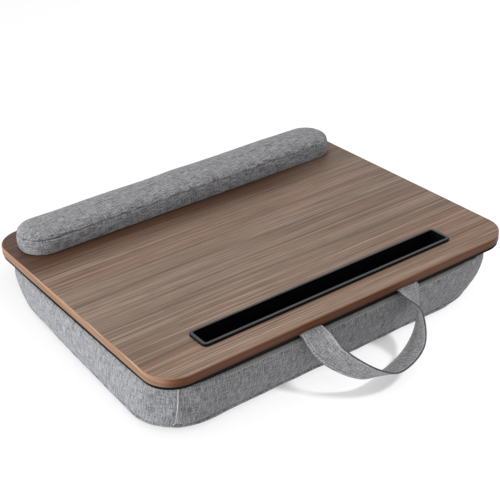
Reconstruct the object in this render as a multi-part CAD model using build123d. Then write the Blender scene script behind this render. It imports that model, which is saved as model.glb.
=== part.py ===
from build123d import *
from math import cos, radians, sin
import os

# Lap tray with cushion. The tray frame has its origin in the middle of the tray's underside,
# with X along the long side and -Y towards the slot and the handle.
# The finished frame stands on the floor: every piece is tilted and lifted onto its wedge cushion.

# Tray board
tray_length = 540.0
tray_depth = 432.0
tray_corner = 40.0
tray_tilt = 4.5  # degrees, slot side raised
core_thickness = 10.4
laminate_thickness = 0.8
backing_thickness = 0.8
band_thickness = 1.2
band_edge_radius = 1.0
tray_thickness = backing_thickness + core_thickness + laminate_thickness

# Device slot, a moulded well with a rim that rests on the tray
slot_from_side = 78.0
slot_width = 36.6
slot_from_front = 50.7
slot_depth = 24.0
slot_wall = 1.6
slot_rim_width = 4.2
slot_rim_height = 3.4
slot_rim_round = 1.4
slot_corner = 7.0
slot_clearance = 0.2

# Black base plate under the tray
plate_inset = 1.2
plate_thickness = 4.0

# Wedge cushion
cushion_mid_height = 59.5
cushion_top_inset = 4.0
cushion_right_inset = 12.0
cushion_back_inset = 14.0
cushion_corner = 58.0
cushion_slack_corner = 86.0
cushion_bulge = 6.0
seam_bulge_share = 0.4
seam_left_spread = 7.4
seam_right_inset = 8.0
seam_front_inset = 1.0
seam_back_inset = 6.0
seam_height = 13.3
bottom_crown_width = 22.7
floor_cut = 0.5
cloth_thickness = 1.0
lining_thickness = 0.8
soft_clearance = 0.3
corner_seam_from_side = 27.5

# Flat tape along the top of the cushion's front
tape_length = 376.0
tape_height = 6.5
tape_thickness = 0.8

# Wrist rest
wrist_length = 506.0
wrist_depth = 68.0
wrist_from_back = 24.0
wrist_corner = 33.0
wrist_seam_height = 21.0
wrist_crown_height = 9.0
wrist_crown_width = 25.0
wrist_bulge = 1.6
wrist_base_thickness = 2.0
wrist_tape_thickness = 0.8
wrist_tape_width = 14.0
wrist_tape_end_gap = 26.0
wrist_tape_side_gap = 9.0

# Carrying handle, one folded strap
strap_width = 33.0
strap_thickness = 2.6
handle_half_spacing = 76.0
handle_shift = 9.7
handle_reach = 59.0
handle_drop = 57.8
strap_end_length = 28.0
strap_notch_clearance = 1.5
hinge_clearance = 0.3
hinge_roll_inset = 0.5
handle_spacing_shares = (-1.0, -0.9, -0.49, -0.02, 0.56, 0.93, 1.0)
handle_reach_shares = (0.0, 0.59, 0.99, 1.0, 0.83, 0.45, 0.0)
handle_drop_shares = (0.0, 0.38, 0.8, 1.0, 0.85, 0.45, 0.0)
strap_turns = (0.0, 44.0, 73.0, 84.0, 87.0, 119.0, 180.0)  # degrees, edge line seen from above
strap_leans = (0.0, 49.0, 44.0, 23.0, 23.0, 40.0, 0.0)  # degrees, upper edge raised
strap_stations = 24

# Fasteners
screw_shank = 3.5
screw_head = 7.0
screw_length = 12.0
screw_countersink = 2.0
screw_from_side = 55.0
screw_rows = 3
staple_crown = 12.0
staple_wire = 1.0
staple_leg = 8.0
staple_from_end = 6.0

overrun = 5.0

half_length = tray_length / 2
half_depth = tray_depth / 2
tray_place = Pos(0, 0, cushion_mid_height) * Rot(X=-tray_tilt)
os.makedirs("parts", exist_ok=True)


def write(node, shape):
    """Write one sub-part, already in the finished frame."""
    export_step(shape, f"parts/{node}.step")
    print(node, round(shape.volume, 1))


def seat(shape):
    """Carry a piece from the tray frame to the finished frame."""
    return tray_place * shape


def plate(length, depth, corner, low, high, y=0):
    """A rounded rectangular sheet between two heights of the tray frame."""
    sheet = extrude(RectangleRounded(length, depth, corner), high - low)
    return Pos(0, y, low) * sheet


# Tray board: core, decor sheet, backing sheet and edge band

slot_y = slot_from_front - half_depth
slot_length = tray_length - 2 * slot_from_side
well_length = slot_length - 2 * (slot_rim_width - slot_wall)
well_width = slot_width - 2 * (slot_rim_width - slot_wall)
well_corner = slot_corner - (slot_rim_width - slot_wall)
inner_length = tray_length - 2 * band_thickness
inner_depth = tray_depth - 2 * band_thickness
inner_corner = tray_corner - band_thickness


def slot_hole(low, high):
    """The cut-out that the slot's well drops through."""
    grow = 2 * slot_clearance
    return plate(well_length + grow, well_width + grow, well_corner + slot_clearance, low, high, slot_y)


core_low = backing_thickness
core_high = backing_thickness + core_thickness


def board_layer(low, high):
    """One layer of the board inside its edge band, with the slot cut out."""
    layer = plate(inner_length, inner_depth, inner_corner, low, high)
    return layer - slot_hole(low - overrun, high + overrun)


def edge_band():
    """The band round the board, with its top and bottom arrises rounded."""
    ring = plate(tray_length, tray_depth, tray_corner, 0, tray_thickness)
    arrises = ring.faces().sort_by(Axis.Z)[-1].edges() + ring.faces().sort_by(Axis.Z)[0].edges()
    ring = fillet(arrises, band_edge_radius)
    return ring - plate(inner_length, inner_depth, inner_corner, -overrun, tray_thickness + overrun)


# Screws that hold the base plate, and staples that hold the strap's ends

screw_x = half_length - screw_from_side
screw_y = half_depth - screw_from_side
screw_row_step = 2 * screw_y / (screw_rows - 1)
screw_places = [(side * screw_x, row * screw_row_step - screw_y) for side in (-1, 1) for row in range(screw_rows)]
strap_mid_z = -strap_thickness / 2
hinge_y = -half_depth - strap_thickness / 2 - hinge_clearance
strap_end_front = hinge_y + strap_thickness / 2 + hinge_clearance
strap_end_back = strap_end_front + strap_end_length
strap_sides = (handle_shift - handle_half_spacing, handle_shift + handle_half_spacing)


def screw(grow=0):
    """A countersunk screw, head down, its tip up in the board."""
    head_low = -plate_thickness
    cone = Pos(0, 0, head_low + screw_countersink / 2)
    cone *= Cone(screw_head / 2 + grow, screw_shank / 2 + grow, screw_countersink)
    shank_low = head_low + screw_countersink
    shank_high = head_low + screw_length + grow
    shank = Pos(0, 0, (shank_low + shank_high) / 2) * Cylinder(screw_shank / 2 + grow, shank_high - shank_low)
    return cone + shank


def staple(x, y):
    """A wire staple whose crown lies under the strap and whose legs go up into the board."""
    crown_z = -strap_thickness - staple_wire / 2
    crown = Pos(x, y, crown_z) * Box(staple_crown, staple_wire, staple_wire)
    leg_x = (staple_crown - staple_wire) / 2
    leg_z = -strap_thickness + staple_leg / 2
    legs = [Pos(x + side * leg_x, y, leg_z) * Box(staple_wire, staple_wire, staple_leg) for side in (-1, 1)]
    return crown + legs[0] + legs[1]


screws = [Pos(x, y, 0) * screw() for x, y in screw_places]
staples = [
    staple(x, y)
    for x in strap_sides
    for y in (strap_end_front + 2 * staple_from_end, strap_end_back - staple_from_end)
]


def bored(shape):
    """A layer with the holes of the screws and the staples."""
    for fastener in screws + staples:
        shape -= fastener
    return shape


# Slot liner

def slot_liner():
    """A deep tray with a rounded rim."""
    rim = plate(slot_length, slot_width, slot_corner, tray_thickness, tray_thickness + slot_rim_height, slot_y)
    rim = fillet(rim.faces().sort_by(Axis.Z)[-1].edges(), slot_rim_round)
    well_low = tray_thickness - slot_depth - slot_wall
    well = plate(well_length, well_width, well_corner, well_low, tray_thickness, slot_y)
    hollow_corner = well_corner - slot_wall
    hollow = plate(well_length - 2 * slot_wall, well_width - 2 * slot_wall, hollow_corner,
                   tray_thickness - slot_depth, tray_thickness + slot_rim_height + overrun, slot_y)
    return rim + well - hollow


# Base plate, open at its front where the strap comes out

def base_plate():
    """The black plate between the tray and the cushion."""
    outline = plate(tray_length - 2 * plate_inset, tray_depth - 2 * plate_inset,
                    tray_corner - plate_inset, -plate_thickness, 0)
    outline -= slot_hole(-plate_thickness - overrun, overrun)
    notch_width = strap_width + 2 * strap_notch_clearance
    notch_length = strap_end_length + strap_notch_clearance + overrun
    for x in strap_sides:
        notch_y = strap_end_back + strap_notch_clearance - notch_length / 2
        outline -= Pos(x, notch_y, -plate_thickness / 2) * Box(notch_width, notch_length, plate_thickness)
    for fastener in screws:
        outline -= fastener
    return outline


def strap_end(x):
    """The strap's fixed end, flat under the board."""
    middle_y = (strap_end_front + strap_end_back) / 2
    end = Pos(x, middle_y, strap_mid_z) * Box(strap_width, strap_end_length, strap_thickness)
    for fastener in staples:
        end -= fastener
    return end


# Cushion: bowed outlines on planes that turn from the tray to the floor. The filling has settled
# to the left, and the right front corner is slack at its bottom.

def cushion_outline(settled, inset, bow):
    """A rounded outline with bowed sides, from the tray (settled 0) to the bottom seam (settled 1)."""
    left = inset + cushion_top_inset - half_length - seam_left_spread * settled
    right = half_length - cushion_right_inset - seam_right_inset * settled - inset
    front = inset + cushion_top_inset + seam_front_inset * settled - half_depth
    back = half_depth - cushion_back_inset - seam_back_inset * settled - inset
    middle_x = (left + right) / 2
    middle_y = (front + back) / 2
    ends = [(left, front), (right, front), (right, back), (left, back)]
    crests = [(middle_x, front - bow / 2), (right + bow, middle_y), (middle_x, back + bow / 2), (left - bow, middle_y)]
    sides = [ThreePointArc(ends[i], crests[i], ends[(i + 1) % 4]) for i in range(4)]
    face = make_face(sides)
    slack_end = Vector(right, front)
    firm_ends = face.vertices().sort_by_distance(slack_end)[1:]
    rounded = fillet(firm_ends, cushion_corner - inset)
    slack_radius = cushion_corner + (cushion_slack_corner - cushion_corner) * settled - inset
    return fillet(rounded.vertices().sort_by_distance(slack_end)[0], slack_radius)


cushion_top = -plate_thickness - lining_thickness
flat_bow = cushion_bulge / 6
top_middle = tray_place * Pos(0, 0, cushion_top)


def cushion_section(share, inset, drop=0):
    """An outline of the cushion's side, from the tray (share 0) down to the bottom seam (share 1)."""
    swell = 4 * share * (1 - share) + seam_bulge_share * share * share
    top = top_middle.position
    height = (top.Z - drop) * (1 - share) + seam_height * share
    side_place = Pos(0, top.Y * (1 - share), height) * Rot(X=-tray_tilt * (1 - share))
    return side_place * cushion_outline(share * share, inset, flat_bow + cushion_bulge * swell)


def cushion_side(inset, drop=0):
    """The block inside the cushion's side walls."""
    return loft([cushion_section(share, inset, drop) for share in (0.0, 0.5, 1.0)])


def bottom_section(angle, inset, floor):
    """An outline of the crowned bottom panel, from its seam (0 degrees) to the floor (90 degrees)."""
    draw_in = inset + bottom_crown_width * (1 - cos(radians(angle)))
    height = seam_height - (seam_height - floor) * sin(radians(angle))
    bow = flat_bow + cushion_bulge * seam_bulge_share * cos(radians(angle))
    return Pos(0, 0, height) * cushion_outline(1, draw_in, bow)


def cushion_bottom(inset, floor):
    """The block under the bottom seam."""
    return loft([bottom_section(angle, inset, floor) for angle in (0, 30, 60, 90)])


def corner_block():
    """The space in front of the two upright corner seams."""
    seam_x = half_length - corner_seam_from_side
    height = 2 * (cushion_mid_height + tray_thickness)
    return Pos(0, -half_depth / 2 - overrun, height / 2) * Box(2 * seam_x, half_depth + 2 * overrun, height)


# Wrist rest: plain stadium-shaped levels in the tray frame

wrist_y = half_depth - wrist_from_back - wrist_depth / 2


def wrist_outline(inset, z):
    """The wrist rest's outline at one height above the board."""
    outline = RectangleRounded(wrist_length - 2 * inset, wrist_depth - 2 * inset, wrist_corner - inset)
    return Pos(0, wrist_y, tray_thickness + z) * outline


def wrist_side(inset, low):
    """The block inside the upright side panel, bulged at half height."""
    middle = (low + wrist_seam_height) / 2
    levels = [(inset, low), (inset - wrist_bulge, middle), (inset, wrist_seam_height)]
    return loft([wrist_outline(*level) for level in levels])


def wrist_crown(inset, rise):
    """The crowned block above the side panel's seam."""
    sections = []
    for angle in (0, 30, 60, 90):
        draw_in = inset + wrist_crown_width * (1 - cos(radians(angle)))
        sections.append(wrist_outline(draw_in, wrist_seam_height + rise * sin(radians(angle))))
    return loft(sections)


# Handle loop, a flat strap that twists from lying to standing and back

def between(values, place):
    """A smooth value between evenly spaced ones, at a place from 0 to 1."""
    last = len(values) - 1
    first = min(int(place * last), last - 1)
    step = place * last - first
    before = values[max(first - 1, 0)]
    after = values[min(first + 2, last)]
    low_slope = (values[first + 1] - before) / (first + 1 - max(first - 1, 0))
    high_slope = (after - values[first]) / (min(first + 2, last) - first)
    rise = values[first + 1] - values[first]
    bend = (low_slope - rise) * (1 - step) - (high_slope - rise) * step
    return values[first] + rise * step + bend * step * (1 - step)


def strap_middle(place):
    """A point of the strap's middle line, from hinge to hinge, in the tray frame."""
    return Vector(
        handle_shift + handle_half_spacing * between(handle_spacing_shares, place),
        hinge_y - handle_reach * between(handle_reach_shares, place),
        strap_mid_z - handle_drop * between(handle_drop_shares, place),
    )


def strap_section(place):
    """The strap's section at one place of its middle line."""
    reach = 1 / (4 * strap_stations)
    along = strap_middle(min(place + reach, 1)) - strap_middle(max(place - reach, 0))
    turn = radians(between(strap_turns, place))
    lean = radians(between(strap_leans, place))
    across = Vector(cos(turn) * cos(lean), -sin(turn) * cos(lean), sin(lean))
    normal = along - across * along.dot(across)
    frame = Plane(origin=strap_middle(place), x_dir=across, z_dir=normal)
    return frame * Rectangle(strap_width, strap_thickness)


def handle_strap():
    """The strap's loop as one loft, with rounded ends on the hinge line."""
    loop = loft([strap_section(station / strap_stations) for station in range(strap_stations + 1)])
    roll = Rot(Y=90) * Cylinder(strap_thickness / 2, strap_width - 2 * hinge_roll_inset)
    for x in strap_sides:
        loop += Pos(x, hinge_y, strap_mid_z) * roll
    return loop


# Tray board
write("top_laminate", seat(board_layer(core_high, tray_thickness)))
write("tray_core", seat(bored(board_layer(core_low, core_high))))
write("backing_sheet", seat(bored(board_layer(0, core_low))))
write("edge_band", seat(edge_band()))
write("slot_liner", seat(slot_liner()))

# Base plate, its screws and the strap
write("base_plate", seat(base_plate()))
write("plate_screws", seat(Compound(screws)))
write("strap_end_left", seat(strap_end(strap_sides[0])))
write("strap_end_right", seat(strap_end(strap_sides[1])))
write("strap_staples", seat(Compound(staples)))
write("handle_strap", seat(handle_strap()))

# Cushion
outer_side = cushion_side(0)
inner_side = cushion_side(cloth_thickness)
gusset = outer_side - inner_side
front_space = corner_block()
write("cushion_front_panel", gusset & front_space)
write("cushion_side_panel", gusset - front_space)

tape_space = Pos(0, -half_depth / 2, cushion_top - tape_height / 2) * Box(tape_length, half_depth, tape_height)
tape = (cushion_side(-soft_clearance - tape_thickness) - cushion_side(-soft_clearance)) & seat(tape_space)
write("front_tape", tape)

floor_block = Pos(0, 0, -overrun) * Box(2 * tray_length, 2 * tray_depth, 2 * overrun)
outer_bottom = cushion_bottom(0, -floor_cut)
inner_bottom = cushion_bottom(cloth_thickness, cloth_thickness)
write("cushion_bottom_panel", outer_bottom - inner_bottom - floor_block)

fill_inset = cloth_thickness + soft_clearance
fill = cushion_side(fill_inset, soft_clearance) + cushion_bottom(fill_inset, fill_inset)
well_pocket = slot_hole(tray_thickness - slot_depth - slot_wall - slot_clearance, overrun)
fill -= seat(well_pocket)
write("cushion_fill", fill)

lining = Pos(0, 0, cushion_top) * extrude(cushion_outline(0, 0, flat_bow), lining_thickness)
write("cushion_lining", seat(lining - slot_hole(cushion_top - overrun, overrun)))

# Wrist rest
wrist_low = wrist_tape_thickness + wrist_base_thickness
write("wrist_side_panel", seat(wrist_side(0, 0) - wrist_side(cloth_thickness, 0)))
top_shell = wrist_crown(0, wrist_crown_height)
top_shell -= wrist_crown(cloth_thickness, wrist_crown_height - cloth_thickness)
write("wrist_top_panel", seat(top_shell))
foam_inset = cloth_thickness + soft_clearance
foam = wrist_side(foam_inset, wrist_low) + wrist_crown(foam_inset, wrist_crown_height - foam_inset)
write("wrist_foam", seat(foam))
base = extrude(wrist_outline(foam_inset, wrist_tape_thickness), wrist_base_thickness)
write("wrist_base", seat(base))
strip_length = wrist_length - 2 * wrist_tape_end_gap
strip_y = wrist_depth / 2 - wrist_tape_side_gap - wrist_tape_width / 2
strips = [
    Pos(0, wrist_y + side * strip_y, tray_thickness + wrist_tape_thickness / 2)
    * Box(strip_length, wrist_tape_width, wrist_tape_thickness)
    for side in (-1, 1)
]
write("wrist_tape_strips", seat(Compound(strips)))
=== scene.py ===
import bpy
import numpy as np
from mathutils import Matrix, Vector


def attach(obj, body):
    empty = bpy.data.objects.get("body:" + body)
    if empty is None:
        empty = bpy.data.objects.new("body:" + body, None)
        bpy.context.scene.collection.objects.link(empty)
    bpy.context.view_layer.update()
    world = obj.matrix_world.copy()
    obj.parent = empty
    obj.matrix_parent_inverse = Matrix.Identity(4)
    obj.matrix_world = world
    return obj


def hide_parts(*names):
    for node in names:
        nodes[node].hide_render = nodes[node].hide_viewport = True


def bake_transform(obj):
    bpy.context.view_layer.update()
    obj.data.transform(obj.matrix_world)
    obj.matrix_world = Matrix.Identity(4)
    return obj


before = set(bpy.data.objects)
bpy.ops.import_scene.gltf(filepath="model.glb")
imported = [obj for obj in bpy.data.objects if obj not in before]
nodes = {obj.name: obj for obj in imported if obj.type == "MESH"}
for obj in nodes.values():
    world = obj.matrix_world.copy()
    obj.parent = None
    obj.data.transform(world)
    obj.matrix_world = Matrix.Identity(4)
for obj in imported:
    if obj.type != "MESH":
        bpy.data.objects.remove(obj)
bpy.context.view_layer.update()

scene = bpy.context.scene

# Tray frame: origin mid-underside of the board, tilted 4.5 degrees and lifted onto the cushion
tray = {"tilt": np.radians(4.5), "lift": 0.0595, "halfLength": 0.270, "halfDepth": 0.216, "thickness": 0.012}


def onTray(points):
    # turns tray coordinates about X by the tilt, then lifts them
    x, y, z = np.moveaxis(np.asarray(points, float), -1, 0)
    c, s = np.cos(tray["tilt"]), np.sin(tray["tilt"])
    return np.stack([x, y * c + z * s, z * c - y * s + tray["lift"]], -1)


# mesh helpers

def unit(v):
    return v / np.linalg.norm(v, axis=-1, keepdims=True)


def runLength(line):
    # length of a polyline up to each of its points
    return np.append(0, np.cumsum(np.linalg.norm(np.diff(line, axis=0), axis=-1)))


def atRuns(at, run, values):
    # the columns of values, known at the lengths run, read at the lengths at
    return np.stack([np.interp(at, run, column) for column in values.T], -1)


def closed(rows):
    # the first column once more after the last
    return np.concatenate([rows, rows[:, :1]], 1)


def newMesh(name, points, faces):
    mesh = bpy.data.meshes.new(name)
    mesh.from_pydata(points, [], faces)
    return mesh


def ringQuads(rows, cols, loop=False):
    r, c = np.meshgrid(np.arange(rows if loop else rows - 1), np.arange(cols), indexing="ij")
    d, e = (c + 1) % cols, (r + 1) % rows
    return r, c, np.stack([r * cols + c, r * cols + d, e * cols + d, e * cols + c], -1).reshape(-1, 4)


def gridPiece(name, points, uv, body="root", loop=False, poles=(None, None), panels=()):
    # rows x columns of points become quads; the last column joins the first, and with loop the last
    # row too; a pole closes an end row with a fan of triangles; each panel is (first strip, its own uv)
    rows, cols = points.shape[:2]
    r, c, quads = ringQuads(rows, cols, loop)
    corners = lambda a: np.stack([a[r, c], a[r, c + 1], a[r + 1, c + 1], a[r + 1, c]], 2)
    quadUv = corners(uv)
    for strip, own in panels:
        quadUv[strip:] = corners(own)[strip:]
        uv = np.concatenate([uv[:strip + 1], own[strip + 1:]])
    verts, faces, loopUv = [points.reshape(-1, 3)], quads.tolist(), [quadUv.reshape(-1, 2)]
    total = rows * cols
    k = np.arange(cols)
    for pole, row, ends in zip(poles, (0, rows - 1), ((k + 1, k), (k, k + 1))):
        if pole is None:
            continue
        verts.append(np.asarray(pole[0], float).reshape(1, 3))
        faces += np.stack([row * cols + i % cols for i in ends] + [np.full(cols, total)], -1).tolist()
        middle = np.broadcast_to(np.asarray(pole[1], float), (cols, 2))
        loopUv.append(np.stack([uv[row, i] for i in ends] + [middle], 1).reshape(-1, 2))
        total += 1
    mesh = newMesh(name, np.concatenate(verts).tolist(), faces)
    layer = mesh.uv_layers.new(name="threads")
    layer.data.foreach_set("uv", np.concatenate(loopUv).astype(np.float32).ravel())
    return finishPiece(name, mesh, body)


def addObject(name, data):
    thing = bpy.data.objects.new(name, data)
    scene.collection.objects.link(thing)
    return thing


def finishPiece(name, mesh, body):
    mesh.polygons.foreach_set("use_smooth", np.full(len(mesh.polygons), True))
    mesh.validate()
    mesh.update()
    piece = addObject(name, mesh)
    if body:
        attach(piece, body)
    return piece


def stitchPiece(name, middles, along, outward, size, body="root"):
    # one small rounded bead per stitch: an ellipsoid whose axes, of the lengths in size, lie along
    # the seam, across it and off the cloth
    along = unit(along)
    across = unit(np.cross(outward, along))
    lat = np.radians([22, 62, 118, 158])[:, None]
    lon = np.radians(np.arange(0, 360, 60))[None, :]
    ball = (np.cos(lat) + 0 * lon, np.sin(lat) * np.cos(lon), np.sin(lat) * np.sin(lon))
    points = middles[:, None]
    for axis, share, length in zip((along, across, np.cross(along, across)), ball, size):
        points = points + axis[:, None] * (share.ravel() * length / 2)[None, :, None]
    bead = ringQuads(4, 6)[2]
    start = (np.arange(len(middles)) * 24)[:, None, None]
    faces = (bead[None] + start).reshape(-1, 4).tolist()
    faces += (np.arange(5, -1, -1)[None] + start[:, 0]).tolist()
    faces += (np.arange(18, 24)[None] + start[:, 0]).tolist()
    return finishPiece(name, newMesh(name, points.reshape(-1, 3).tolist(), faces), body)


def spaced(points, pitch, outward):
    # every pitch along a polyline: the point, the direction and the outward normal there
    run = runLength(points)
    at = np.arange(pitch / 2, run[-1], pitch)
    return [atRuns(at, run, a) for a in (points, np.gradient(points, run, axis=0), outward)]


# material helpers

def put(tree, socket, value):
    if isinstance(value, bpy.types.NodeSocket):
        tree.links.new(value, socket)
    elif value is not None:
        socket.default_value = value


def addNode(tree, kind, *values, **settings):
    # a new node's outputs, with its settings made and its inputs filled in order by values or links
    node = tree.nodes.new("ShaderNode" + kind)
    for setting, value in settings.items():
        setattr(node, setting, value)
    for socket, value in zip(node.inputs, values):
        put(tree, socket, value)
    return node.outputs


def calc(tree, operation, *values):
    return addNode(tree, "Math", *values, operation=operation)[0]


def noise(tree, vector, scale, detail=2.0, roughness=0.5):
    stretched = addNode(tree, "VectorMath", vector, scale, operation="MULTIPLY")[0]
    return addNode(tree, "TexNoise", stretched, None, 1.0, detail, roughness)["Fac"]


def blendColor(tree, factor, first, second, mode="MIX"):
    node = tree.nodes.new("ShaderNodeMix")
    node.data_type = "RGBA"
    node.blend_type = mode
    put(tree, node.inputs["Factor"], factor)
    put(tree, node.inputs["A"], first)
    put(tree, node.inputs["B"], second)
    return node.outputs["Result"]


def ramp(tree, value, low, high, outLow=0.0, outHigh=1.0):
    return addNode(tree, "MapRange", value, low, high, outLow, outHigh, interpolation_type="SMOOTHSTEP")[0]


def objectPlace(tree):
    return addNode(tree, "TexCoord")["Object"]


def newGroup(name, **inputs):
    # a node group with a colour, a height and a roughness out; an input given as None is a vector
    group = bpy.data.node_groups.new(name, "ShaderNodeTree")
    for label, default in inputs.items():
        kind = "Vector" if default is None else "Color" if isinstance(default, tuple) else "Float"
        socket = group.interface.new_socket(name=label, in_out="INPUT", socket_type="NodeSocket" + kind)
        if default is not None:
            socket.default_value = default
    for label, kind in (("Color", "Color"), ("Height", "Float"), ("Roughness", "Float")):
        group.interface.new_socket(name=label, in_out="OUTPUT", socket_type="NodeSocket" + kind)
    return group, group.nodes.new("NodeGroupInput").outputs, group.nodes.new("NodeGroupOutput").inputs


def srgb(r, g, b):
    # screen values 0..255 to the linear values that nodes use
    c = np.array([r, g, b]) / 255
    return (*np.where(c <= 0.04045, c / 12.92, ((c + 0.055) / 1.055) ** 2.4).tolist(), 1.0)


weave = {"drift": 0.22, "warpStep": 7.31, "weftStep": 5.17, "weftShift": 31.0,
         "thick": 980, "long": 75, "patch": (60, 40, 1),
         "yarnWeight": 0.8, "patchWeight": 0.06, "mottleWeight": 0.12, "darkTone": 0.22, "lightTone": 0.78,
         "gapHeight": 0.55, "gapShade": 0.72, "roughness": (0.93, 0.82)}


def makeHeather():
    # plain weave of mottled yarns: warp and weft cross in a chequer, each crossing has its own tone,
    # each yarn changes along its length, and thick places run down the warp and across
    group, inp, out = newGroup("heatherWeave", Vector=None, Dark=(0.1, 0.1, 0.1, 1), Light=(0.4, 0.4, 0.4, 1),
                               Yarn=0.0011, Slub=0.6, Cross=0.5)
    threads = inp["Vector"]
    x, y, _ = addNode(group, "SeparateXYZ", threads)
    a, b = (calc(group, "DIVIDE", v, inp["Yarn"]) for v in (x, y))
    ia, ib = (calc(group, "FLOOR", v) for v in (a, b))
    sa, sb = (calc(group, "SINE", calc(group, "MULTIPLY", calc(group, "FRACT", v), np.pi)) for v in (a, b))
    over = calc(group, "FLOORED_MODULO", calc(group, "ADD", ia, ib), 2.0)
    warpHeight = calc(group, "MULTIPLY", sa, calc(group, "SQRT", sb))
    weftHeight = calc(group, "MULTIPLY", sb, calc(group, "SQRT", sa))
    onTop = lambda first, second: calc(group, "MULTIPLY_ADD", over, calc(group, "SUBTRACT", first, second), second)
    height = onTop(warpHeight, weftHeight)
    scaled = lambda v, by: calc(group, "MULTIPLY", v, weave[by])
    warp = addNode(group, "CombineXYZ", scaled(ia, "warpStep"), scaled(b, "drift"))[0]
    weft = addNode(group, "CombineXYZ", scaled(a, "drift"), scaled(ib, "weftStep"), weave["weftShift"])[0]
    warpTone, weftTone = (noise(group, v, (1, 1, 1), 1.0) for v in (warp, weft))
    slub = noise(group, threads, (weave["thick"], weave["long"], 1), 1.0)
    crossSlub = noise(group, threads, (weave["long"], weave["thick"], 1), 1.0)
    mottle = addNode(group, "TexWhiteNoise", addNode(group, "CombineXYZ", ia, ib)[0])["Value"]
    tone = calc(group, "MULTIPLY_ADD", onTop(warpTone, weftTone), weave["yarnWeight"], (1 - weave["yarnWeight"]) / 2)
    patches = noise(group, threads, weave["patch"])
    for value, weight in ((slub, inp["Slub"]), (crossSlub, inp["Cross"]), (patches, weave["patchWeight"]),
                          (mottle, weave["mottleWeight"])):
        tone = calc(group, "MULTIPLY_ADD", calc(group, "SUBTRACT", value, 0.5), weight, tone)
    color = blendColor(group, ramp(group, tone, weave["darkTone"], weave["lightTone"]), inp["Dark"], inp["Light"])
    # the gaps between the yarns are darker
    gap = ramp(group, height, 0.0, weave["gapHeight"], weave["gapShade"], 1.0)
    color = blendColor(group, 1.0, color, addNode(group, "CombineColor", gap, gap, gap)[0], "MULTIPLY")
    group.links.new(color, out["Color"])
    group.links.new(calc(group, "MULTIPLY_ADD", slub, 0.5, height), out["Height"])
    group.links.new(ramp(group, tone, 0.2, 0.8, *weave["roughness"]), out["Roughness"])
    return group


grain = {
    "bend": 0.009, "red": 0.75, "pore": 0.4, "roughness": (0.58, 0.48),
    # each noise: its scale along and across the grain, detail and roughness
    "bands": ((1.1, 42, 1), 2.0, 0.5), "warm": ((1.3, 21, 7), 2.0, 0.5), "streaks": ((2.4, 300, 1), 2.0, 0.55),
    "hair": ((5.5, 700, 1), 1.0, 0.5), "pores": ((26, 880, 1), 1.0, 0.5),
    # each layer: noise, where it starts and is full, weight, tone
    "layers": (("bands", 0.45, 0.72, 0.34, "Dark"), ("streaks", 0.48, 0.70, 0.55, "Pale"),
               ("streaks", 0.5, 0.3, 0.34, "Dark"), ("hair", 0.52, 0.34, 0.33, "Dark"),
               ("hair", 0.5, 0.68, 0.42, "Pale")),
}


def makeGrain():
    # wood grain along X of its vector: broad bands, streaks, hair lines and pores, each a noise
    # stretched along the grain, with the streaks bent a little by a slow noise
    group, inp, out = newGroup("walnutGrain", Vector=None, Base=srgb(120, 100, 84), Pale=srgb(152, 131, 114),
                               Dark=srgb(64, 49, 40), Red=srgb(116, 84, 66), Contrast=1.0)
    x, y, z = addNode(group, "SeparateXYZ", inp["Vector"])
    bend = noise(group, inp["Vector"], (2.2, 7, 1))
    bent = addNode(group, "CombineXYZ", x, calc(group, "MULTIPLY_ADD", bend, grain["bend"], y), z)[0]
    lines = {name: noise(group, bent, *grain[name]) for name in ("bands", "warm", "streaks", "hair", "pores")}
    warmth = calc(group, "MULTIPLY", ramp(group, lines["warm"], 0.42, 0.72), grain["red"])
    color = blendColor(group, warmth, inp["Base"], inp["Red"])
    for name, low, high, weight, tone in grain["layers"]:
        strength = calc(group, "MULTIPLY", inp["Contrast"], weight)
        mask = calc(group, "MULTIPLY", ramp(group, lines[name], low, high), strength)
        color = blendColor(group, mask, color, inp[tone])
    pore = ramp(group, lines["pores"], 0.47, 0.32)
    color = blendColor(group, calc(group, "MULTIPLY", pore, grain["pore"]), color, inp["Dark"])
    group.links.new(color, out["Color"])
    ridge = calc(group, "MULTIPLY", lines["streaks"], 0.6)
    group.links.new(calc(group, "MULTIPLY_ADD", pore, -0.7, ridge), out["Height"])
    group.links.new(ramp(group, lines["streaks"], 0.3, 0.7, *grain["roughness"]), out["Roughness"])
    return group


heatherGroup = makeHeather()
grainGroup = makeGrain()


def newMaterial(name, roughness=0.5, specular=0.5, sheen=0.0, coat=0.0):
    material = bpy.data.materials.new(name)
    material.use_nodes = True
    shader = material.node_tree.nodes["Principled BSDF"]
    for label, value in (("Roughness", roughness), ("Specular IOR Level", specular), ("Sheen Weight", sheen),
                         ("Sheen Roughness", 0.5), ("Coat Weight", coat)):
        shader.inputs[label].default_value = value
    return material, material.node_tree, shader


def surface(tree, shader, color, height, strength, distance=0.0002):
    tree.links.new(color, shader.inputs["Base Color"])
    bump = tree.nodes.new("ShaderNodeBump")
    bump.inputs["Strength"].default_value = strength
    bump.inputs["Distance"].default_value = distance
    tree.links.new(height, bump.inputs["Height"])
    tree.links.new(bump.outputs[0], shader.inputs["Normal"])


def useGroup(tree, shader, group, vector, values):
    # puts a group into a material with its own values; gives back its colour and height
    node = tree.nodes.new("ShaderNodeGroup")
    node.node_tree = group
    tree.links.new(vector, node.inputs["Vector"])
    for label, value in values.items():
        node.inputs[label].default_value = value
    tree.links.new(node.outputs["Roughness"], shader.inputs["Roughness"])
    return node.outputs["Color"], node.outputs["Height"]


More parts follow.
